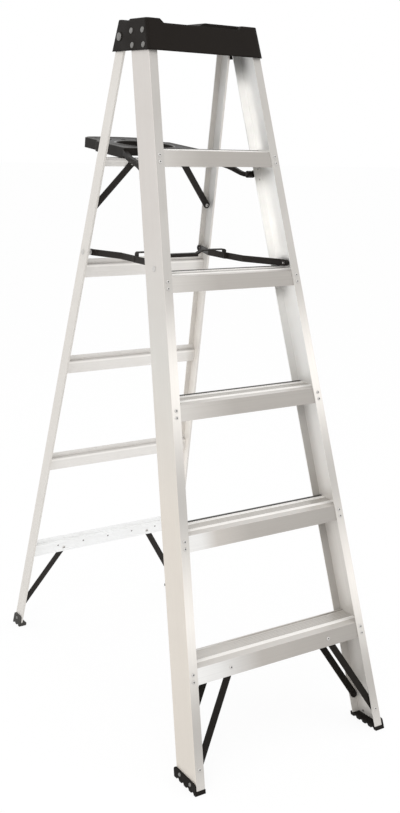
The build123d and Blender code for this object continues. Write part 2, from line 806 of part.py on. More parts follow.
with BuildPart() as hinge_pins:
    pin_face = across(hinge, boss_face)
    pin_reach = boss_face - web_x(rear_web, hinge) + rear_wall * 3 + tail
    rivets(both([pin_face]), hinge_radius, hinge_head, head_rise * 1.3, pin_reach)
    collars(both([pin_face]), hinge_head * 0.8, pin_reach - tail, tail * 1.5)
export(hinge_pins.part, "hinge_pins")

# Rivets of the rear section
with BuildPart() as bar_rivets:
    rivets(both(all_bar_spots), rivet_radius, head_radius, head_rise, rear_wall + bar_wall + tail)
export(bar_rivets.part, "rear_horizontal_rivets")

with BuildPart() as rear_brace_rivets:
    lower_pair = both([bar_spot(lower_brace_x, lower_top, bar_front)])
    rivets(lower_pair, rivet_radius, head_radius, head_rise, bar_wall + brace_thickness + tail)
    lower_gap = bar_depth - bar_wall - brace_thickness
    lower_grip = rear_wall + lower_gap + brace_thickness + tail
    rivets(both([lower_low_spot]), rivet_radius, head_radius, head_rise, lower_grip)
    collars(both([lower_low_spot]), collar_radius, rear_wall, lower_gap)
    upper_pair = both([bar_spot(upper_brace_x, upper_top, bar_front - brace_thickness)])
    rivets(upper_pair, rivet_radius, head_radius, head_rise, brace_thickness + bar_wall + tail)
    upper_grip = brace_thickness + bar_depth + rear_wall + tail
    rivets(both([upper_low_spot]), rivet_radius, head_radius, head_rise, upper_grip)
    collars(both([upper_low_spot]), collar_radius, brace_thickness, bar_depth)
export(rear_brace_rivets.part, "rear_brace_rivets")

with BuildPart() as rear_foot_rivets:
    rear_foot_heads = [spot.offset(foot_plate) for spot in rear_foot_spots]
    rivets(both(rear_foot_heads), rivet_radius, head_radius, head_rise, foot_plate + rear_wall + tail)
export(rear_foot_rivets.part, "rear_foot_rivets")


def spacer(place, web, wall, inner, radius, bore):
    """Tube from the sloping inner face of a web to a given distance across."""
    outer = web_x(web, place)
    with Locations(across(place, inner)):
        Cylinder(radius, outer - inner, align=low)
    split(bisect_by=web.offset(-wall), keep=Keep.BOTTOM)
    drill([across(place, inner)], bore, outer)
    mirror(about=Plane.YZ)


def cross_pin(place, outer, inner, radius, head):
    """Pin across the ladder with a head at its outer end and a formed inner end."""
    with Locations(*both([across(place, outer)])):
        Cone(head, head * head_crown, pivot_head_rise, align=low)
        Cylinder(radius, outer - inner, align=high)
    with Locations(*both([across(place, inner)])):
        Cylinder(pivot_end, pivot_head_rise, align=high)


# Spreader, front half with the crossbar
front_link_x = web_x(front_web, front_pivot) - front_link_inset
rear_link_x = web_x(rear_web, rear_pivot) - rear_link_inset
knuckle_x = front_link_x - knuckle_inset
front_link_outer = front_link_x + link_thickness
rear_link_inner = knuckle_x + link_thickness + layer_gap
front_link_inner = rear_link_inner + link_thickness + layer_gap


def link(first, last, first_x, last_x, first_flat, last_flat):
    """Flat bar on edge, bent twice in plan, with round ends and two pivot holes."""
    run = last - first
    length = run.length
    overhang = link_height / 2
    plan = Plane(origin=first, x_dir=(1, 0, 0), z_dir=Vector(1, 0, 0).cross(run))
    inner = [
        (first_x, -overhang),
        (first_x, first_flat),
        (last_x, length - last_flat),
        (last_x, length + overhang),
    ]
    outer = [(x + link_thickness, y) for x, y in reversed(inner)]
    with BuildSketch(plan) as strip:
        Polygon(*inner, *outer, align=None)
    extrude(strip.sketch, amount=link_height / 2, both=True)
    with BuildSketch(Plane(origin=first, x_dir=run, z_dir=(1, 0, 0))) as profile:
        with Locations((length / 2, 0)):
            SlotCenterToCenter(length, link_height)
    extrude(profile.sketch, amount=front_base_width, mode=Mode.INTERSECT)
    drill([across(first, first_x), across(last, last_x)], pivot_radius + running_fit, link_thickness * 8)


with BuildPart() as front_link:
    link(front_pivot, knuckle, front_link_x, front_link_inner, flat_front, flat_knuckle)
export_pair(front_link.part, "spreader_front_link")

with BuildPart() as rear_link:
    link(rear_pivot, knuckle, rear_link_x, rear_link_inner, flat_rear, flat_knuckle)
export_pair(rear_link.part, "spreader_rear_link")

ear_outer = knuckle_x + link_thickness
strap_upper = [
    (ear_outer, -strap_depth / 2),
    (ear_outer, arch_rise),
    (dip_half + dip_flank, arch_rise),
    (dip_half, arch_rise - dip_depth),
]
strap_lower = [
    (knuckle_x, -strap_depth / 2),
    (knuckle_x, arch_rise - link_thickness),
    (dip_half + dip_flank, arch_rise - link_thickness),
    (dip_half, arch_rise - dip_depth - link_thickness),
]
strap_right = strap_lower[::-1] + strap_upper
with BuildPart() as crossbar:
    with BuildSketch(Plane(origin=knuckle, x_dir=(1, 0, 0), z_dir=(0, -1, 0))) as strap:
        Polygon(*strap_right, *[(-x, z) for x, z in reversed(strap_right)], align=None)
        corners = strap.vertices().filter_by(lambda corner: abs(corner.X) > knuckle_x + link_thickness / 2)
        fillet(corners.group_by(Axis.Y)[-1], arch_bend)
    extrude(amount=strap_depth / 2, both=True)
    with Locations((0, knuckle.Y - strap_depth / 2, knuckle.Z + arch_rise - dip_depth)):
        Box(2 * dip_half, link_thickness, strap_lip, align=(Align.CENTER, Align.MIN, Align.MAX))
    drill(both([across(knuckle, knuckle_x)]), pivot_radius + rivet_fit, link_thickness * 6)
export(crossbar.part, "spreader_crossbar")

with BuildPart() as knuckle_pins:
    with Locations(*both([across(knuckle, knuckle_x)])):
        Cylinder(pivot_radius, front_link_inner + link_thickness - knuckle_x, align=low)
        Cylinder(pivot_head, pivot_head_rise, align=high)
    with Locations(*both([across(knuckle, front_link_inner + link_thickness)])):
        Cone(pivot_head, pivot_head * head_crown, pivot_head_rise, align=low)
export(knuckle_pins.part, "knuckle_pins")

with BuildPart() as front_spacers:
    spacer_face = front_link_outer + layer_gap
    spacer(front_pivot, front_web, front_wall, spacer_face, spacer_radius, pivot_radius + rivet_fit)
export(front_spacers.part, "spreader_front_spacers")

with BuildPart() as front_pins:
    front_pin_face = web_x(front_web, front_pivot + Vector(0, 0, -pivot_head))
    cross_pin(front_pivot, front_pin_face, front_link_x - layer_gap, pivot_radius, pivot_head)
export(front_pins.part, "spreader_front_pins")

post_face = rear_link_x + link_thickness + post_gap
with BuildPart() as rear_posts:
    with Locations(across(rear_pivot, post_face)):
        Cylinder(spacer_radius, web_x(rear_web, rear_pivot) - post_face, align=low)
    split(bisect_by=rear_web.offset(-rear_wall), keep=Keep.BOTTOM)
    post_outer = web_x(rear_web, rear_pivot + Vector(0, 0, -pivot_head))
    with Locations(across(rear_pivot, post_outer)):
        Cone(pivot_head, pivot_head * head_crown, pivot_head_rise, align=low)
        Cylinder(pivot_radius, post_outer - post_face, align=high)
    mirror(about=Plane.YZ)
export(rear_posts.part, "spreader_rear_posts")

# Pail shelf
rest = point(rear_frame, 0, bar_rear, bar_along(bar_heights[-1])) + Vector(0, 0, shelf_rest_gap)
tilt = radians(shelf_tilt)
shelf_plane = Plane(origin=rest, x_dir=(1, 0, 0), z_dir=(0, -sin(tilt), cos(tilt)))
shelf_half = rear_half(bar_along(bar_heights[-1])) - rear_flange - shelf_side_gap
lug_x = web_x(front_web, eye) - bracket_inset - bracket_width
eye_x = lug_x - shelf_washer - layer_gap - eye_length / 2
rear_band = shelf_rear - well_setback - well_radius
arm_root = shelf_plane.origin - shelf_plane.y_dir * shelf_front + shelf_plane.z_dir * (shelf_height / 2)
arm_line = Vector(shelf_half - arm_root_inset - eye_x, arm_root.Y - eye.Y, 0)
arm_run = arm_line.length
arm_rise = arm_root.Z - eye.Z
arm_plane = Plane(
    origin=(eye_x, eye.Y, eye.Z),
    x_dir=arm_line,
    z_dir=arm_line.cross(Vector(0, 0, 1)),
)
arm_lower = [(run * arm_run, rise * arm_rise - half) for run, rise, half in arm_stations]
arm_upper = [(run * arm_run, rise * arm_rise + half) for run, rise, half in reversed(arm_stations)]


def tray_outline(inset):
    """Plan of the tray, drawn in by an inset: stepped sides and a bowed rear edge."""
    wide = shelf_half - inset
    narrow = wide - shelf_shoulder
    step_y = shelf_shoulder_reach - inset
    rear_y = shelf_rear - inset
    right = [(wide, inset - shelf_front), (wide, step_y), (narrow, step_y), (narrow, rear_y)]
    left = [(-x, y) for x, y in reversed(right)]
    with BuildSketch(mode=Mode.PRIVATE) as plan:
        with BuildLine() as rim:
            Polyline(*left, *right)
            ThreePointArc(right[-1], (0, rear_y + shelf_bow), left[0])
        make_face(rim.edges())
        fillet(plan.vertices(), shelf_corner - inset)
    return plan.sketch


def well_outline(outset):
    """Plan of the open well, drawn out by an outset."""
    with BuildSketch(mode=Mode.PRIVATE) as plan:
        with Locations((0, well_setback)):
            Circle(well_radius + outset)
    return plan.sketch


with BuildPart() as pail_shelf:
    with BuildSketch(shelf_plane):
        add(tray_outline(0))
    extrude(amount=shelf_height)
    with BuildSketch(shelf_plane):
        add(tray_outline(shelf_wall))
        add(well_outline(shelf_wall), mode=Mode.SUBTRACT)
    extrude(amount=shelf_height - shelf_wall, mode=Mode.SUBTRACT)
    with BuildSketch(shelf_plane):
        add(well_outline(0))
    extrude(amount=shelf_height, mode=Mode.SUBTRACT)
    with BuildSketch(shelf_plane):
        add(well_outline(shelf_wall + 1))
    extrude(amount=shelf_height - well_wall_height, mode=Mode.SUBTRACT)
    with BuildSketch(shelf_plane.offset(shelf_height)):
        with GridLocations(shelf_hole_step, 0, 3, 1):
            with Locations((0, shelf_rear - rear_band / 2)):
                Circle(shelf_hole_radius)
    extrude(amount=-2 * shelf_wall, mode=Mode.SUBTRACT)
    with BuildSketch(shelf_plane):
        with Locations((0, -shelf_front)):
            Rectangle(2 * (shelf_half - 3 * shelf_corner), 3 * shelf_wall)
    extrude(amount=front_bar_lift, mode=Mode.SUBTRACT)
    with BuildSketch(arm_plane):
        with BuildLine():
            lower = Spline((0, -eye_radius * 0.7), *arm_lower)
            arm_tip = (arm_lower[-1][0] + arm_end, arm_lower[-1][1] + arm_end * tan(tilt) * 1.5)
            rear_low = Line(lower @ 1, arm_tip)
            rear_up = Line(rear_low @ 1, (arm_upper[0][0] + arm_end, arm_upper[0][1]))
            top_run = Line(rear_up @ 1, arm_upper[0])
            upper = Spline(*arm_upper, (0, eye_radius * 0.7))
            Line(upper @ 1, lower @ 0)
        make_face()
    extrude(amount=arm_thickness / 2, both=True)
    with Locations(across(eye, eye_x)):
        Cylinder(eye_radius, eye_length)
    drill([across(eye, eye_x)], shelf_pin_radius + running_fit, eye_length * 2)
    mirror(about=Plane.YZ)
export(pail_shelf.part, "pail_shelf")

lug_plane = Plane(origin=(lug_x, eye.Y, eye.Z), x_dir=front_frame.y_dir, z_dir=(1, 0, 0))
plate_centre = front_spot(eye.Z, bracket_inset + bracket_width / 2, front_depth, 1).origin
plate_plane = Plane(origin=plate_centre, x_dir=front_section.x_dir, z_dir=front_frame.y_dir)
with BuildPart() as shelf_bracket:
    with BuildSketch(plate_plane):
        RectangleRounded(bracket_width, bracket_height, bracket_wall)
    extrude(amount=bracket_wall)
    with BuildSketch(lug_plane):
        Circle(eye_radius)
        Rectangle(eye_standoff, 2 * eye_radius, align=(Align.MAX, Align.CENTER))
    extrude(amount=bracket_wall)
    drill(bracket_spots, rivet_hole, bracket_wall * 4)
    drill([lug_plane], shelf_pin_radius + rivet_fit, bracket_wall * 4)
export_pair(shelf_bracket.part, "shelf_bracket")

with BuildPart() as bracket_rivets:
    bracket_heads = [spot.offset(bracket_wall) for spot in bracket_spots]
    rivets(both(bracket_heads), rivet_radius, head_radius, head_rise, bracket_wall + front_wall)
export(bracket_rivets.part, "shelf_bracket_rivets")

with BuildPart() as shelf_spacers:
    with Locations(*both([across(eye, lug_x)])):
        Cylinder(shelf_washer_radius, shelf_washer, align=high)
    drill(both([across(eye, lug_x)]), shelf_pin_radius + rivet_fit, shelf_washer * 4)
export(shelf_spacers.part, "shelf_spacers")

with BuildPart() as shelf_pins:
    cross_pin(eye, lug_x + bracket_wall, eye_x - eye_length / 2 - layer_gap, shelf_pin_radius, pivot_head)
export(shelf_pins.part, "shelf_pins")
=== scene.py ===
"""Studio scene of the folding stepladder: finishes, small surface detail, light and the photo's view."""

from math import cos, pi, radians, sin

import bpy
import numpy as np
from mathutils import Matrix, Vector


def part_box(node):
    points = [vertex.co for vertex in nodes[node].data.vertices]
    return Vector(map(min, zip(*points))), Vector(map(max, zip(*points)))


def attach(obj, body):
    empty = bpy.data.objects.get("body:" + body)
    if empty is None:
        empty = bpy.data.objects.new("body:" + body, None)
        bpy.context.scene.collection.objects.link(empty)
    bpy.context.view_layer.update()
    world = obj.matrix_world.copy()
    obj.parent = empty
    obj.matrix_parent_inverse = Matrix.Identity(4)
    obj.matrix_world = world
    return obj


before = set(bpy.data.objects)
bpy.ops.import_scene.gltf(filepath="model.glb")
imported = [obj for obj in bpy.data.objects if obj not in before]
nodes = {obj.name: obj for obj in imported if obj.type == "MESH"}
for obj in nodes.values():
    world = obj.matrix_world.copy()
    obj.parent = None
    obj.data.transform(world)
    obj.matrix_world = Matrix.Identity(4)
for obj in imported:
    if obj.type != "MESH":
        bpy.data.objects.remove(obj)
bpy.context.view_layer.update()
scene = bpy.context.scene


# Greys as colours: even, a little warm and a little cool
def plain(grey):
    return (grey, grey, grey)


def warm(grey):
    return (grey, 0.982 * grey, 0.965 * grey)


def cool(grey):
    return (grey, 1.035 * grey, 1.075 * grey)


# Shader nodes: each function adds nodes to a tree, and most return the socket of their result
def shader(name):
    """New material with a Principled shader: returns material, tree and shader node."""
    mat = bpy.data.materials.new(name)
    mat.use_nodes = True
    tree = mat.node_tree
    bsdf = next(node for node in tree.nodes if node.type == "BSDF_PRINCIPLED")
    return mat, tree, bsdf


def split(tree, kind):
    """X, Y and Z of the named texture coordinates."""
    source = tree.nodes.new("ShaderNodeTexCoord")
    parts = tree.nodes.new("ShaderNodeSeparateXYZ")
    tree.links.new(source.outputs[kind], parts.inputs[0])
    return parts.outputs


def calc(tree, operation, *values):
    """Math node; each value is a float or a socket."""
    node = tree.nodes.new("ShaderNodeMath")
    node.operation = operation
    for socket, value in zip(node.inputs, values):
        if isinstance(value, float):
            socket.default_value = value
        else:
            tree.links.new(value, socket)
    return node.outputs[0]


def between(tree, value, start, end, low=0.0, high=1.0):
    """Maps a range of a value to a range of numbers, and stops at its ends."""
    node = tree.nodes.new("ShaderNodeMapRange")
    node.inputs["From Min"].default_value = start
    node.inputs["From Max"].default_value = end
    node.inputs["To Min"].default_value = low
    node.inputs["To Max"].default_value = high
    tree.links.new(value, node.inputs["Value"])
    return node.outputs["Result"]


def tones(tree, value, stops):
    """Maps a value to colours, given as pairs of position and colour."""
    node = tree.nodes.new("ShaderNodeValToRGB")
    for _ in stops[2:]:
        node.color_ramp.elements.new(0.5)
    for element, (position, colour) in zip(node.color_ramp.elements, stops):
        element.position = position
        element.color = (*colour, 1)
    tree.links.new(value, node.inputs["Fac"])
    return node.outputs["Color"]


def height_tones(tree, stops):
    """Maps the height over the floor to colours, given as pairs of height in metres and colour."""
    low, high = stops[0][0], stops[-1][0]
    height = between(tree, split(tree, "Object")["Z"], low, high)
    return tones(tree, height, [((level - low) / (high - low), colour) for level, colour in stops])


def noise(tree, vector, scale, detail):
    node = tree.nodes.new("ShaderNodeTexNoise")
    node.inputs["Scale"].default_value = scale
    node.inputs["Detail"].default_value = detail
    tree.links.new(vector, node.inputs["Vector"])
    return node.outputs["Fac"]


def coords(tree, scale=(1, 1, 1), axis=(0, 0, 1)):
    """Object coordinates, mirrored to the right-hand side, turned to an axis and stretched by a scale."""
    x, y, z = split(tree, "Object")
    joined = tree.nodes.new("ShaderNodeCombineXYZ")
    for socket, value in zip(joined.inputs, (calc(tree, "ABSOLUTE", x), y, z)):
        tree.links.new(value, socket)
    turn = tree.nodes.new("ShaderNodeMapping")
    turn.vector_type = "TEXTURE"
    turn.inputs["Rotation"].default_value = Vector(axis).to_track_quat("Z", "Y").to_euler()
    turn.inputs["Scale"].default_value = [1 / value for value in scale]
    tree.links.new(joined.outputs[0], turn.inputs["Vector"])
    return turn.outputs["Vector"]


def mix(tree, factor, first, second, kind="MIX"):
    """Colour mix; the factor is a float or a socket."""
    node = tree.nodes.new("ShaderNodeMix")
    node.data_type = "RGBA"
    node.blend_type = kind
    if isinstance(factor, float):
        node.inputs["Factor"].default_value = factor
    else:
        tree.links.new(factor, node.inputs["Factor"])
    tree.links.new(first, node.inputs["A"])
    tree.links.new(second, node.inputs["B"])
    return node.outputs["Result"]


def tinted(tree, colour, tint):
    return mix(tree, 1.0, colour, tint, "MULTIPLY")


bevel_samples = 4


def rounded(tree, radius):
    """Normals that turn softly over the edges of a piece."""
    node = tree.nodes.new("ShaderNodeBevel")
    node.samples = bevel_samples
    node.inputs["Radius"].default_value = radius
    return node.outputs[0]


# Cosine of the turn of a rounded normal: at an edge and on a face
edge_turn, face_turn = 0.88, 0.99


def edges(tree, radius):
    """1 near the edges of a piece, 0 on its faces."""
    geometry = tree.nodes.new("ShaderNodeNewGeometry")
    turned = tree.nodes.new("ShaderNodeVectorMath")
    turned.operation = "DOT_PRODUCT"
    tree.links.new(rounded(tree, radius), turned.inputs[0])
    tree.links.new(geometry.outputs["Normal"], turned.inputs[1])
    return tones(tree, turned.outputs["Value"], ((edge_turn, plain(1)), (face_turn, plain(0))))


def bump(tree, value, strength, distance, bsdf, soften=0.0):
    """Relief on a shader, over normals that are rounded by a radius if one is given."""
    node = tree.nodes.new("ShaderNodeBump")
    node.inputs["Strength"].default_value = strength
    node.inputs["Distance"].default_value = distance
    tree.links.new(value, node.inputs["Height"])
    if soften:
        tree.links.new(rounded(tree, soften), node.inputs["Normal"])
    tree.links.new(node.outputs["Normal"], bsdf.inputs["Normal"])


# Painted light and shade: how the tone of the bare metal changes over a part, standing in for light and
# shade. Lengths are in metres
inward_turn = (-0.5, -0.9)          # range of outward_of over which a face counts as an inner one


def outward_of(tree):
    """1 on faces that look away from the middle of the ladder, -1 on those that look towards it."""
    return calc(tree, "MULTIPLY", calc(tree, "SIGN", split(tree, "Object")["X"]), split(tree, "Normal")["X"])


# Painted shade on a step's upright faces, the skirt, and a painted reflection near its left end, by the share
# of its width from the left
skirt_reach = 0.24                  # half of that width
tread_turn = (0.5, 0.9)             # upward part of the normal, from skirt to tread
high_skirt = ((0.0, plain(0.93)), (0.1, plain(0.9)), (0.4, warm(0.615)), (1.0, warm(0.56)))
second_skirt = (
    (0.0, cool(1.27)), (0.11, cool(1.2)), (0.2, warm(0.84)), (0.4, warm(0.65)), (1.0, warm(0.55)),
)
lowest_skirt = ((0.0, cool(1.28)), (0.11, cool(1.18)), (0.38, warm(0.71)), (1.0, warm(0.57)))
above_second, above_lowest = (0.75, 0.65), (0.45, 0.4)      # heights where the next tones take over


def skirt_painted_light(tree, colour, _):
    """Painted shade: the upright faces of a step are darker than its tread, and a painted reflection makes
    them paler near the left end.
    """
    x, _, z = split(tree, "Object")
    across = between(tree, x, -skirt_reach, skirt_reach)
    high, second, lowest = (tones(tree, across, stops) for stops in (high_skirt, second_skirt, lowest_skirt))
    low = mix(tree, between(tree, z, *above_lowest), second, lowest)
    shade_tint = mix(tree, between(tree, z, *above_second), high, low)
    upward = between(tree, split(tree, "Normal")["Z"], *tread_turn)
    return mix(tree, upward, tinted(tree, colour, shade_tint), colour)


# Painted highlight and painted shade along a rear bar, by the share of its height
bar_painted_line = ((0.0, 1.0), (0.53, 1.0), (0.60, 1.2), (0.65, 1.02), (0.705, 0.78), (0.78, 0.95))
glare_turn = (0.2, 0.6)              # part of the normal to the front or up, from other faces to those with painted glare
glare_tone = cool(1.145)


def bar_painted_light(tree, colour, _):
    """Painted highlight: a bright line under the bend of a rear bar, with a painted shade line along the
    bend.
    """
    line = [(position, plain(grey)) for position, grey in bar_painted_line]
    return tinted(tree, colour, tones(tree, split(tree, "Generated")["Z"], line))


def low_bar_painted_light(tree, colour, bsdf):
    """Painted glare: the lowest rear bar is paler on its front and top."""
    _, y, z = split(tree, "Normal")
    shown = between(tree, calc(tree, "MAXIMUM", calc(tree, "MULTIPLY", y, -1.0), z), *glare_turn)
    pale = tinted(tree, colour, tones(tree, shown, ((0.0, plain(1)), (1.0, glare_tone))))
    return mix(tree, shown, bar_painted_light(tree, colour, bsdf), pale)


# Painted light on the rear rails' inner faces, by height
rear_inner_painted_light = ((0.6, plain(1.34)), (1.0, plain(1.19)), (1.248, cool(1.0)), (1.504, cool(1.1)))


def rear_painted_light(tree, colour, _):
    """Painted light: the inner faces of a rear rail take their own tones by height, lighter than the outer
    ones.
    """
    inner = between(tree, outward_of(tree), *inward_turn)
    return mix(tree, inner, colour, tinted(tree, colour, height_tones(tree, rear_inner_painted_light)))


# Front rails from the side: lean, middle of their level depth at the floor, and half of that depth
front_slope, front_middle, front_half = 0.30325, -0.46684, 0.04284
flange_turn = (0.5, 0.2)            # range of outward_of, without its sign, from web to flange
flange_skin = (0.0008, 0.0014)      # depth under a flange's outer face at which its inside starts
shine_heights = (0.5, 1.0)          # heights over which the inside turns shiny
base_metallic, inner_metallic = 0.25, 0.85
# Painted reflection bands along the flanges: a height at their mean tone, their length and the heights where
# they fade
band_start, band_length, band_fade = 0.25, 0.52, (1.3, 1.05)
reflection_band_tones = ((0.0, plain(0.67)), (1.0, plain(1.19)))
# Painted light and shade on the other faces by height
outer_web_painted_shade = ((0.6, (1.01, 0.976, 0.932)), (0.951, (0.93, 0.942, 0.94)), (1.25, (0.895, 0.882, 0.885)))
inner_web_light_and_shade = (
    (0.22, plain(0.88)), (0.3295, plain(1.06)), (0.5005, plain(1.08)), (0.9505, cool(1.25)),
    (1.1005, cool(1.41)), (1.3795, cool(1.41)), (1.4995, cool(1.18)),
)
inner_flange_light_and_shade = (
    (0.1996, plain(0.88)), (0.3004, plain(0.68)), (0.604, plain(0.66)), (1.0, cool(1.08)),
    (1.252, cool(1.33)),
)


def front_painted_light(tree, colour, bsdf):
    """Front rail: shiny inside, more so higher up, with painted light on its inner faces, painted shade under
    the lowest step and on the outer web higher up, and painted reflection bands along the outside of its
    flanges.
    """
    _, y, z = split(tree, "Object")
    outward = outward_of(tree)
    flange = between(tree, calc(tree, "ABSOLUTE", outward), *flange_turn)
    depth = calc(tree, "MULTIPLY_ADD", z, -front_slope, y)
    away = calc(tree, "ABSOLUTE", calc(tree, "SUBTRACT", depth, front_middle))
    covered = between(tree, away, *(front_half - skin for skin in flange_skin))
    web_inside = between(tree, outward, *inward_turn)
    inside = calc(tree, "MAXIMUM", web_inside, calc(tree, "MULTIPLY", flange, covered))

    turns = calc(tree, "MULTIPLY", calc(tree, "SUBTRACT", z, band_start), 2 * pi / band_length)
    wave = between(tree, calc(tree, "SINE", turns), -1.0, 1.0)
    swell = calc(tree, "MULTIPLY", wave, between(tree, z, *band_fade))
    outer_painted_tint = mix(tree, flange, height_tones(tree, outer_web_painted_shade), tones(tree, swell, reflection_band_tones))
    inner_painted_tint = mix(tree, flange, height_tones(tree, inner_web_light_and_shade), height_tones(tree, inner_flange_light_and_shade))

    shine = calc(tree, "MULTIPLY", inside, between(tree, z, *shine_heights))
    metallic = between(tree, shine, 0.0, 1.0, base_metallic, inner_metallic)
    tree.links.new(metallic, bsdf.inputs["Metallic"])
    return mix(tree, inside, tinted(tree, colour, outer_painted_tint), tinted(tree, colour, inner_painted_tint))


# Materials
noise_low, noise_high = 0.3, 0.7    # most values of a noise lie between these
fine_detail, cloud_detail = 3.0, 2.0
metal_clouds, grained_clouds = 9.0, 14.0        # scales of the cloudy patches
cloud_tint = (0.955, 0.95, 0.945)
streak_strength, streak_depth = 0.05, 0.0004
grain_depth = 0.0003
edge_highlight_reach = 0.0012                 # of the painted highlights on the edges


def noise_tones(tree, value, low, high):
    """Maps a noise to a range of colours."""
    return tones(tree, value, ((noise_low, low), (noise_high, high)))


def metal(name, colours, rough, stretch, axis=(0, 0, 1), metallic=base_metallic, finish=None):
    """Drawn metal: fine die lines along an axis, cloudy patches and an uneven sheen."""
    mat, tree, bsdf = shader(name)
    streak = noise(tree, coords(tree, stretch, axis), 1.0, fine_detail)
    cloud = noise(tree, coords(tree), metal_clouds, cloud_detail)
    patches = noise_tones(tree, cloud, cloud_tint, plain(1))
    colour = tinted(tree, noise_tones(tree, streak, *colours), patches)
    bsdf.inputs["Metallic"].default_value = metallic
    # A finish paints light and shade into the colour
    if finish:
        colour = finish(tree, colour, bsdf)
    tree.links.new(colour, bsdf.inputs["Base Color"])
    tree.links.new(between(tree, cloud, noise_low, noise_high, *rough), bsdf.inputs["Roughness"])
    bump(tree, streak, streak_strength, streak_depth, bsdf)
    return mat


def grained(name, colours, rough, scale, strength=0.25, specular=0.1, soften=0.0):
    """Plastic, rubber or paint with a fine grain and a painted highlight on its edges: colours are low, high
    and edge highlight.
    """
    mat, tree, bsdf = shader(name)
    low, high, edge_highlight = colours
    grain = noise(tree, coords(tree), scale, fine_detail)
    cloud = noise(tree, coords(tree), grained_clouds, cloud_detail)
    edge_highlight_tones = noise_tones(tree, cloud, edge_highlight, high)
    body = noise_tones(tree, grain, low, high)
    tree.links.new(mix(tree, edges(tree, edge_highlight_reach), body, edge_highlight_tones), bsdf.inputs["Base Color"])
    tree.links.new(between(tree, cloud, noise_low, noise_high, *rough), bsdf.inputs["Roughness"])
    bsdf.inputs["Specular IOR Level"].default_value = specular
    bump(tree, grain, strength, grain_depth, bsdf, soften)
    return mat


# Directions of the rails on the right-hand side, and how often the die lines change along each axis
front_axis, rear_axis = (-0.0736, 0.303, 1), (-0.069, -0.207, 1)
rail_stretch, bar_stretch = (650, 650, 2), (2, 650, 650)
rivet_stretch, mandrel_stretch = (200, 200, 200), (400, 400, 400)
steel_metallic = 0.6
satin = (0.34, 0.46)
rail_colours = (0.70, 0.672, 0.634), (0.73, 0.702, 0.664)
step_colours = (0.60, 0.574, 0.541), (0.64, 0.613, 0.578)
grip_highlight_colours = (0.90, 0.88, 0.85), (0.94, 0.925, 0.90)
bead_shade_colours = (0.055, 0.052, 0.048), (0.075, 0.071, 0.066)
bar_colours = (0.79, 0.768, 0.738), (0.83, 0.808, 0.778)
steel_colours = (0.19, 0.186, 0.178), (0.235, 0.23, 0.222)
rivet_colours = (0.56, 0.545, 0.525), (0.62, 0.605, 0.585)
mandrel_shade_colours = (0.035, 0.034, 0.033), (0.055, 0.054, 0.052)
front_rail_mat = metal(
    "Front rail aluminium", rail_colours, satin, rail_stretch, front_axis, finish=front_painted_light
)
rear_rail_mat = metal("Rear rail aluminium", rail_colours, satin, rail_stretch, rear_axis, finish=rear_painted_light)
step_mat = metal("Step aluminium", step_colours, (0.30, 0.42), bar_stretch, finish=skirt_painted_light)
grip_highlight_mat = metal("Grip aluminium", grip_highlight_colours, (0.28, 0.36), bar_stretch)
bead_shade_mat = metal("Shaded bead", bead_shade_colours, (0.4, 0.5), bar_stretch)
bar_mat = metal("Bar aluminium", bar_colours, satin, bar_stretch, finish=bar_painted_light)
# The lowest bar: a copy of the bar metal with painted glare on its front and top
low_bar_glare_mat = metal("Low bar aluminium", bar_colours, satin, bar_stretch, finish=low_bar_painted_light)
steel_mat = metal("Rivet steel", steel_colours, (0.32, 0.42), rivet_stretch, metallic=steel_metallic)
rivet_mat = metal("Rivet aluminium", rivet_colours, (0.28, 0.38), rivet_stretch)
mandrel_mat = metal("Mandrel steel", mandrel_shade_colours, (0.4, 0.5), mandrel_stretch, metallic=steel_metallic)

plastic_grain, rubber_grain, paint_grain = 900, 700, 500
paint_strength = 0.12
cap_softness = 0.008
# Low, high and edge colours of each; the edge colour is a painted highlight
cap_colours = (0.0085, 0.0062, 0.0047), (0.0115, 0.0088, 0.0068), (0.021, 0.0175, 0.015)
shelf_colours = (0.0085, 0.0066, 0.005), (0.0125, 0.0098, 0.0076), (0.03, 0.027, 0.024)
rim_highlight_colours = (0.055, 0.051, 0.047), (0.075, 0.07, 0.065), (0.1, 0.095, 0.09)
foot_colours = (0.0085, 0.007, 0.0056), (0.0125, 0.0105, 0.0088), (0.021, 0.0185, 0.0165)
# The rear feet: a paler copy of the foot rubber, painted light
rear_foot_lit_colours = (0.045, 0.0425, 0.039), (0.066, 0.0625, 0.058), (0.13, 0.125, 0.118)
paint_colours = (0.0205, 0.0177, 0.0155), (0.0267, 0.0233, 0.0208), (0.041, 0.0376, 0.0348)
brace_colours = (0.0125, 0.0108, 0.0091), (0.0175, 0.0153, 0.0132), (0.028, 0.026, 0.0235)
plastic_mat = grained("Cap plastic", cap_colours, (0.42, 0.55), plastic_grain, soften=cap_softness)
shelf_mat = grained("Shelf plastic", shelf_colours, (0.38, 0.5), plastic_grain, specular=0.14)
rim_highlight_mat = grained("Rim plastic", rim_highlight_colours, (0.3, 0.42), plastic_grain, specular=0.35)
rubber_mat = grained("Foot rubber", foot_colours, (0.55, 0.7), rubber_grain)
rear_rubber_lit_mat = grained("Rear foot rubber", rear_foot_lit_colours, (0.5, 0.65), rubber_grain)
paint_mat = grained("Black paint", paint_colours, (0.36, 0.46), paint_grain, paint_strength)
brace_mat = grained("Brace paint", brace_colours, (0.45, 0.55), paint_grain, paint_strength, specular=0.05)


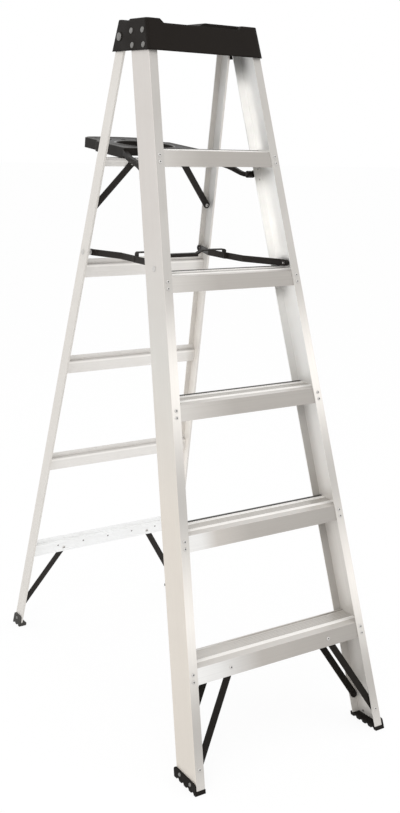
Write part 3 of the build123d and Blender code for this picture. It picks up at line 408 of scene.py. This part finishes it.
def finish_of(name):
    """Material of a CAD node."""
    if name in ("knuckle_pins", "shelf_pins", "shelf_bracket_left", "shelf_bracket_right"):
        return paint_mat
    if name in ("cap_rivets", "hinge_pins", "front_foot_rivets", "rear_foot_rivets"):
        return steel_mat
    if "rivets" in name or name.endswith(("_pins", "_posts")):
        return rivet_mat
    if name.startswith("front_rail"):
        return front_rail_mat
    if name.startswith("rear_rail"):
        return rear_rail_mat
    if name.startswith("step_"):
        return step_mat
    if name == "rear_horizontal_1":
        return low_bar_glare_mat
    if name.startswith("rear_horizontal"):
        return bar_mat
    if name.startswith("rear_foot"):
        return rear_rubber_lit_mat
    if "foot" in name:
        return rubber_mat
    if name == "pail_shelf":
        return shelf_mat
    if name.startswith("knee_brace"):
        return brace_mat
    if "brace" in name or name.startswith("spreader"):
        return paint_mat
    return plastic_mat


for name, node in nodes.items():
    node.data.materials.clear()
    node.data.materials.append(finish_of(name))

# Fine detail
same_place = 7                      # decimals to which points at one place agree
tip_slack, head_reach = 2e-5, 0.0025            # depth of a pin's tip, and of the part that gives its radius


def solids_of(node):
    """Each loose solid of a node: its world points, and how its faces turn."""
    mesh = node.data
    owner = list(range(len(mesh.vertices)))

    def root(index):
        while owner[index] != index:
            owner[index] = owner[owner[index]]
            index = owner[index]
        return index

    spots = {}
    for vertex in mesh.vertices:
        key = tuple(round(value, same_place) for value in vertex.co)
        owner[vertex.index] = spots.setdefault(key, vertex.index)
    for edge in mesh.edges:
        a, b = (root(index) for index in edge.vertices)
        owner[a] = b
    points, turns = {}, {}
    for vertex in mesh.vertices:
        points.setdefault(root(vertex.index), []).append(node.matrix_world @ vertex.co)
    for face in mesh.polygons:
        key = root(face.vertices[0])
        turns[key] = turns.get(key, 0) + face.area * np.outer(face.normal, face.normal)
    return [(np.array(points[key]), turns[key]) for key in turns]


def ends_of(points, turns):
    """Axis of a headed pin towards its head, with the middles of its head and of its other end."""
    values, vectors = np.linalg.eigh(turns)
    axis = vectors[:, 0 if values[1] - values[0] > values[2] - values[1] else 2]
    along = points @ axis
    ends = []
    for sign in (-1, 1):
        depth = (along * sign).max() - along * sign
        tip = points[depth < tip_slack].mean(axis=0)
        near = points[depth < head_reach] - tip
        radius = np.linalg.norm(near - np.outer(near @ axis, axis), axis=1).max()
        ends.append((radius, sign, tip))
    (_, _, tail), (_, sign, head) = sorted(ends, key=lambda end: end[0])
    return Vector(axis * sign).normalized(), Vector(head), Vector(tail)


def pins_of(name):
    """Axis, head and tail of every pin of a node."""
    return [ends_of(*solid) for solid in solids_of(nodes[name])]


def lathe(verts, faces, place, axis, profile, sides):
    """Adds a turned shape: profile points are radius and height along the axis."""
    side = axis.orthogonal().normalized()
    other = axis.cross(side)
    start = len(verts)
    for radius, height in profile:
        for i in range(sides):
            angle = 2 * pi * i / sides
            verts.append(place + axis * height + (side * cos(angle) + other * sin(angle)) * radius)
    for ring in range(len(profile) - 1):
        for i in range(sides):
            a = start + ring * sides + i
            b = start + ring * sides + (i + 1) % sides
            faces.append((a, b, b + sides, a + sides))
    faces.append(tuple(start + (len(profile) - 1) * sides + i for i in range(sides)))


def piece(name, verts, faces, mat, body, smooth=True):
    """Adds a piece of the scene's own, which rides on a body."""
    mesh = bpy.data.meshes.new(name)
    mesh.from_pydata(verts, [], faces)
    if smooth:
        mesh.shade_smooth()
    mesh.materials.append(mat)
    obj = bpy.data.objects.new(name, mesh)
    scene.collection.objects.link(obj)
    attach(obj, body)


def turned_piece(name, spots, profile, sides, mat, body):
    """One piece with a turned shape at every spot, which is a place and an axis."""
    verts, faces = [], []
    for place, axis in spots:
        lathe(verts, faces, place, axis, profile, sides)
    piece(name, verts, faces, mat, body)


# Heads over the plain heads of the rivets, with the broken pin sunk in each blind one; the pin's near-black
# colour is painted shade of the hole
head_sides = 20
rivet_head, cap_head, hinge_head = (0.0046, 0.0020), (0.0072, 0.0020), (0.0100, 0.0026)     # radius, rise
# Profiles in shares of the radius and the rise
blind = (
    (1.03, 0.0), (1.03, 0.14), (0.97, 0.5), (0.84, 0.88), (0.64, 1.1), (0.46, 1.16), (0.40, 1.06),
    (0.38, 1.02),
)
mandrel = ((0.39, 1.0), (0.39, 1.05), (0.30, 1.07), (0.12, 1.08))
dome = ((1.03, 0.0), (1.03, 0.14), (0.97, 0.5), (0.84, 0.88), (0.64, 1.13), (0.36, 1.24), (0.12, 1.28))
button = ((1.02, 0.0), (1.02, 0.35), (0.97, 0.72), (0.86, 0.98), (0.62, 1.1), (0.30, 1.14), (0.12, 1.15))


def head_piece(name, body, heads, mat):
    """One piece with a turned head on every rivet of the named nodes."""
    verts, faces = [], []
    for node, (radius, rise), shape in heads:
        profile = [(share * radius, height * rise) for share, height in shape]
        for axis, head, _ in pins_of(node):
            lathe(verts, faces, head - axis * rise, axis, profile, head_sides)
    piece(name, verts, faces, mat, body)


blind_rivets = {
    "front_section": ("step_rivets", "knee_brace_rivets", "shelf_bracket_rivets"),
    "rear_section": ("rear_horizontal_rivets", "rear_brace_rivets"),
}
for body, names in blind_rivets.items():
    for suffix, shape, mat in (("heads", blind, rivet_mat), ("mandrels", mandrel, mandrel_mat)):
        head_piece(f"{body}_rivet_{suffix}", body, [(name, rivet_head, shape) for name in names], mat)
cap_heads = [("cap_rivets", cap_head, dome), ("hinge_pins", hinge_head, button)]
head_piece("cap_rivet_heads", "front_section", cap_heads, steel_mat)
for section in ("front", "rear"):
    foot_heads = [(f"{section}_foot_rivets", rivet_head, dome)]
    head_piece(f"{section}_foot_rivet_heads", f"{section}_section", foot_heads, steel_mat)

# Painted rings round the inner ends of the front spreader pins
ring_sides = 24
ring = (
    (0.0056, -0.0012), (0.0056, 0.0002), (0.0053, 0.0004), (0.0027, 0.0004), (0.0025, 0.0002),
    (0.0025, -0.0002),
)
spots = [(tail, -axis) for axis, _, tail in pins_of("spreader_front_pins")]
turned_piece("spreader_pin_rings", spots, ring, ring_sides, paint_mat, "front_section")

# Painted caps over the inner ends of the rivets at the feet of the knee braces
knee_foot_limit = 0.15              # height under which a rivet is at a foot
tail_cover = 0.0018
tail_cap = ((0.0042, 0.0), (0.0042, 0.0009), (0.0036, 0.0018), (0.0022, 0.0023), (0.0006, 0.0025))
spots = [
    (tail + axis * tail_cover, -axis)
    for axis, _, tail in pins_of("knee_brace_rivets") if tail.z < knee_foot_limit
]
turned_piece("knee_brace_rivet_caps", spots, tail_cap, head_sides, brace_mat, "front_section")

# Serrated grip ribs of each tread, in paler metal as a painted highlight, and a dark ridge of painted shade
# over the bead along the rear of all but the lowest
tooth_pitch = 0.005
bead_rise = 0.0024                  # of the CAD step's highest edge over its tread
end_slope = 0.0029                  # of the CAD step's ends
crest_inset = 0.0401                # of the main ridge from the step's front
rib_pitch = 0.0043
rear_rib_inset, rear_rib_count = 0.0105, 3
bead_inset = 0.005
# Half width at the foot and at the top, height of the valleys and of the peaks
crest = (0.0022, 0.0014, 0.0015, 0.0021)
rib = (0.0019, 0.0012, 0.0006, 0.0014)
bead = (0.0027, 0.0019, 0.0026, 0.0026)


def ridge(verts, faces, ends, y, z, section):
    """Adds a bar along X whose top edge steps between two heights."""
    base, top, valley, peak = section
    count = round((ends[1] - ends[0]) / tooth_pitch)
    start = len(verts)
    stations = []
    for i in range(count):
        for share, rise in ((0.0, valley), (0.45, valley), (0.55, peak), (0.9, peak)):
            stations.append((ends[0] + (i + share) * tooth_pitch, rise))
    for x, rise in stations:
        for offset, height in ((-base, 0), (-top, rise), (top, rise), (base, 0)):
            verts.append((x, y + offset, z + height))
    for i in range(len(stations) - 1):
        for j in range(3):
            a = start + 4 * i + j
            faces.append((a, a + 4, a + 5, a + 1))
    last = start + 4 * (len(stations) - 1)
    faces.append((start, start + 1, start + 2, start + 3))
    faces.append((last + 3, last + 2, last + 1, last))


for number in range(1, 6):
    low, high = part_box(f"step_{number}")
    tread = high[2] - bead_rise
    ends = (low[0] + end_slope, high[0] - end_slope)
    middle = low[1] + crest_inset
    lines = [(middle, crest), (middle - rib_pitch, rib), (middle + rib_pitch, rib)]
    if number > 1:
        lines += [(high[1] - rear_rib_inset - i * rib_pitch, rib) for i in range(rear_rib_count)]
    verts, faces = [], []
    for y, section in lines:
        ridge(verts, faces, ends, y, tread, section)
    piece(f"step_{number}_grip", verts, faces, grip_highlight_mat, "front_section", smooth=False)
    if number > 1:
        verts, faces = [], []
        ridge(verts, faces, ends, high[1] - bead_inset, tread, bead)
        piece(f"step_{number}_bead", verts, faces, bead_shade_mat, "front_section", smooth=False)

# Row of small dimples in the lowest rear bar, found by rays from the front; their dark steel colour is
# painted shade of the hollows
dimple_sides = 16
dimple = ((0.0026, 0.0), (0.0024, 0.0004), (0.0016, 0.0005), (0.0012, 0.0001), (0.0004, 0.0))
dimple_middle, dimple_pitch, dimple_height = 0.004, 0.085, 0.247
low_bar = "rear_horizontal_1"
ray_start, ray = -2, Vector((0, 1, 0))
spots = []
for i in range(-2, 3):
    start = Vector((dimple_middle + dimple_pitch * i, ray_start, dimple_height))
    _, place, normal, _ = nodes[low_bar].ray_cast(start, ray)
    spots.append((place, normal))
turned_piece(f"{low_bar}_dimples", spots, dimple, dimple_sides, steel_mat, "rear_section")

# Raised rims round the deck of the pail shelf and round its well, in paler plastic as a painted highlight
deck_tilt = radians(4.5)
deck_up = Vector((0, -sin(deck_tilt), cos(deck_tilt)))
deck_run = Vector((0, cos(deck_tilt), sin(deck_tilt)))
deck_slack = 1e-5                   # under the highest level, for points that belong to the deck
shelf_points = [vertex.co for vertex in nodes["pail_shelf"].data.vertices]
deck_level = max(point.dot(deck_up) for point in shelf_points)
deck_points = [point for point in shelf_points if point.dot(deck_up) > deck_level - deck_slack]
deck_front = min(point.dot(deck_run) for point in deck_points)
deck_half = max(point.x for point in deck_points)
deck_narrow, deck_shoulder, deck_rear, deck_bow = 0.016, 0.164, 0.255, 0.02
well_middle, well_radius, well_parts = 0.1, 0.078, 72
rim_inset, rim_half, rim_rise, rim_corner = 0.0035, 0.0028, 0.0016, 0.003
bow_width, bow_parts = 0.97, 16


def rim(verts, faces, path):
    """Adds a low bead with sloping sides along a closed path on the deck."""
    start, count = len(verts), len(path)
    for i, (x, run) in enumerate(path):
        ahead = Vector(path[(i + 1) % count]) - Vector(path[i - 1])
        side = Vector((ahead.y, -ahead.x)).normalized()
        for offset, rise in ((-1.0, 0.0), (-0.5, 1.0), (0.5, 1.0), (1.0, 0.0)):
            u, v = Vector((x, run)) + side * (offset * rim_half)
            level = deck_level + rise * rim_rise
            verts.append(Vector((u, 0, 0)) + deck_run * (deck_front + v) + deck_up * level)
    for i in range(count):
        for j in range(3):
            a, b = start + 4 * i + j, start + 4 * ((i + 1) % count) + j
            faces.append((a, b, b + 1, a + 1))


wide, narrow = deck_half - rim_inset, deck_half - deck_narrow - rim_inset
shoulder, rear = deck_shoulder - rim_inset, deck_rear - rim_inset
right_edge = [
    (wide - rim_corner, rim_inset), (wide, rim_inset + rim_corner), (wide, shoulder - rim_corner),
    (wide - rim_corner, shoulder), (narrow + rim_corner, shoulder), (narrow, shoulder + rim_corner),
    (narrow, rear - rim_corner),
]
left_edge = [(-x, run) for x, run in reversed(right_edge)]
bow_angles = [pi * i / bow_parts for i in range(bow_parts + 1)]
rear_edge = [(narrow * cos(angle) * bow_width, rear + deck_bow * sin(angle)) for angle in bow_angles]
well_rim = well_radius + rim_inset
well_angles = [2 * pi * i / well_parts for i in range(well_parts)]
well_edge = [(well_rim * cos(angle), well_middle + well_rim * sin(angle)) for angle in well_angles]
verts, faces = [], []
rim(verts, faces, right_edge + rear_edge + left_edge)
rim(verts, faces, well_edge)
piece("pail_shelf_rims", verts, faces, rim_highlight_mat, "shelf", smooth=False)


# Floor and backdrop
def seen_rays(tree):
    """1 for rays that show the backdrop: straight to the camera, mirrored or refracted."""
    path = tree.nodes.new("ShaderNodeLightPath").outputs
    mirrored = calc(tree, "MAXIMUM", path["Is Camera Ray"], path["Is Glossy Ray"])
    return calc(tree, "MAXIMUM", mirrored, path["Is Transmission Ray"])


def blend(tree, factor, first, second, kind):
    """Sends a mix of two shader nodes to the tree's output of the named kind."""
    output = next(node for node in tree.nodes if node.type == kind)
    mixed = tree.nodes.new("ShaderNodeMixShader")
    tree.links.new(factor, mixed.inputs["Fac"])
    tree.links.new(first.outputs[0], mixed.inputs[1])
    tree.links.new(second.outputs[0], mixed.inputs[2])
    tree.links.new(mixed.outputs[0], output.inputs["Surface"])


floor_size, floor_drop, floor_grey, floor_rough = 60, 0.0005, 0.95, 0.9
floor_white = 0.9                   # share of the floor's look that is plain white; the rest takes the shadow
backdrop, tree, bsdf = shader("Backdrop")
bsdf.inputs["Base Color"].default_value = (*plain(floor_grey), 1)
bsdf.inputs["Roughness"].default_value = floor_rough
shine = tree.nodes.new("ShaderNodeEmission")
blend(tree, calc(tree, "MULTIPLY", seen_rays(tree), floor_white), bsdf, shine, "OUTPUT_MATERIAL")
bpy.ops.mesh.primitive_plane_add(size=floor_size, location=(0, 0, -floor_drop))
floor = bpy.context.object
floor.name = "floor"
floor.data.materials.append(backdrop)

# World: white where it is seen, and a plain light elsewhere
sky_light = 0.94
world = bpy.data.worlds.new("Studio")
scene.world = world
world.use_nodes = True
tree = world.node_tree
ambient, white_sky = tree.nodes["Background"], tree.nodes.new("ShaderNodeBackground")
for sky, strength in ((ambient, sky_light), (white_sky, 1)):
    sky.inputs["Color"].default_value = (*plain(1), 1)
    sky.inputs["Strength"].default_value = strength
blend(tree, seen_rays(tree), ambient, white_sky, "OUTPUT_WORLD")

# Lamps: place, size and power
lamp_target = Vector((0, 0, 0.9))
lamps = {
    "Key": ((-3.2, -2.6, 3.4), 2.2, 34),
    "Fill": ((3.0, -3.2, 2.2), 2.5, 14),
    "Top": ((-0.4, -0.6, 4.6), 3.0, 22),
}
for name, (place, size, power) in lamps.items():
    data = bpy.data.lights.new(name, "AREA")
    data.shape = "RECTANGLE"
    data.size = data.size_y = size
    data.energy = power
    lamp = bpy.data.objects.new(name, data)
    lamp.location = place
    lamp.rotation_euler = (lamp_target - Vector(place)).to_track_quat("-Z", "Y").to_euler()
    scene.collection.objects.link(lamp)

# Camera at the photo's view: focal length and shift are in pixels of the photo's frame
camera_place = (-1.56604, -2.33566, 1.50826)
yaw, pitch, roll = radians(34.185), radians(-12.58), radians(2.281)
frame_height, focal_length, centre_shift = 813, 1094.29, -41.6
sensor_width, view_limit = 36, 200
forward = Vector((sin(yaw) * cos(pitch), cos(yaw) * cos(pitch), sin(pitch)))
right = Vector((cos(yaw), -sin(yaw), 0))
up = right.cross(forward)
across = right * cos(roll) + up * sin(roll)
above = up * cos(roll) - right * sin(roll)
turn = Matrix((across, above, -forward)).transposed().to_4x4()
camera = bpy.data.objects.new("Camera", bpy.data.cameras.new("Camera"))
scene.collection.objects.link(camera)
camera.matrix_world = Matrix.Translation(camera_place) @ turn
camera.data.sensor_width = sensor_width
camera.data.lens = focal_length / frame_height * sensor_width
camera.data.shift_y = centre_shift / frame_height
camera.data.clip_end = view_limit
scene.camera = camera
scene.view_settings.view_transform = "Standard"
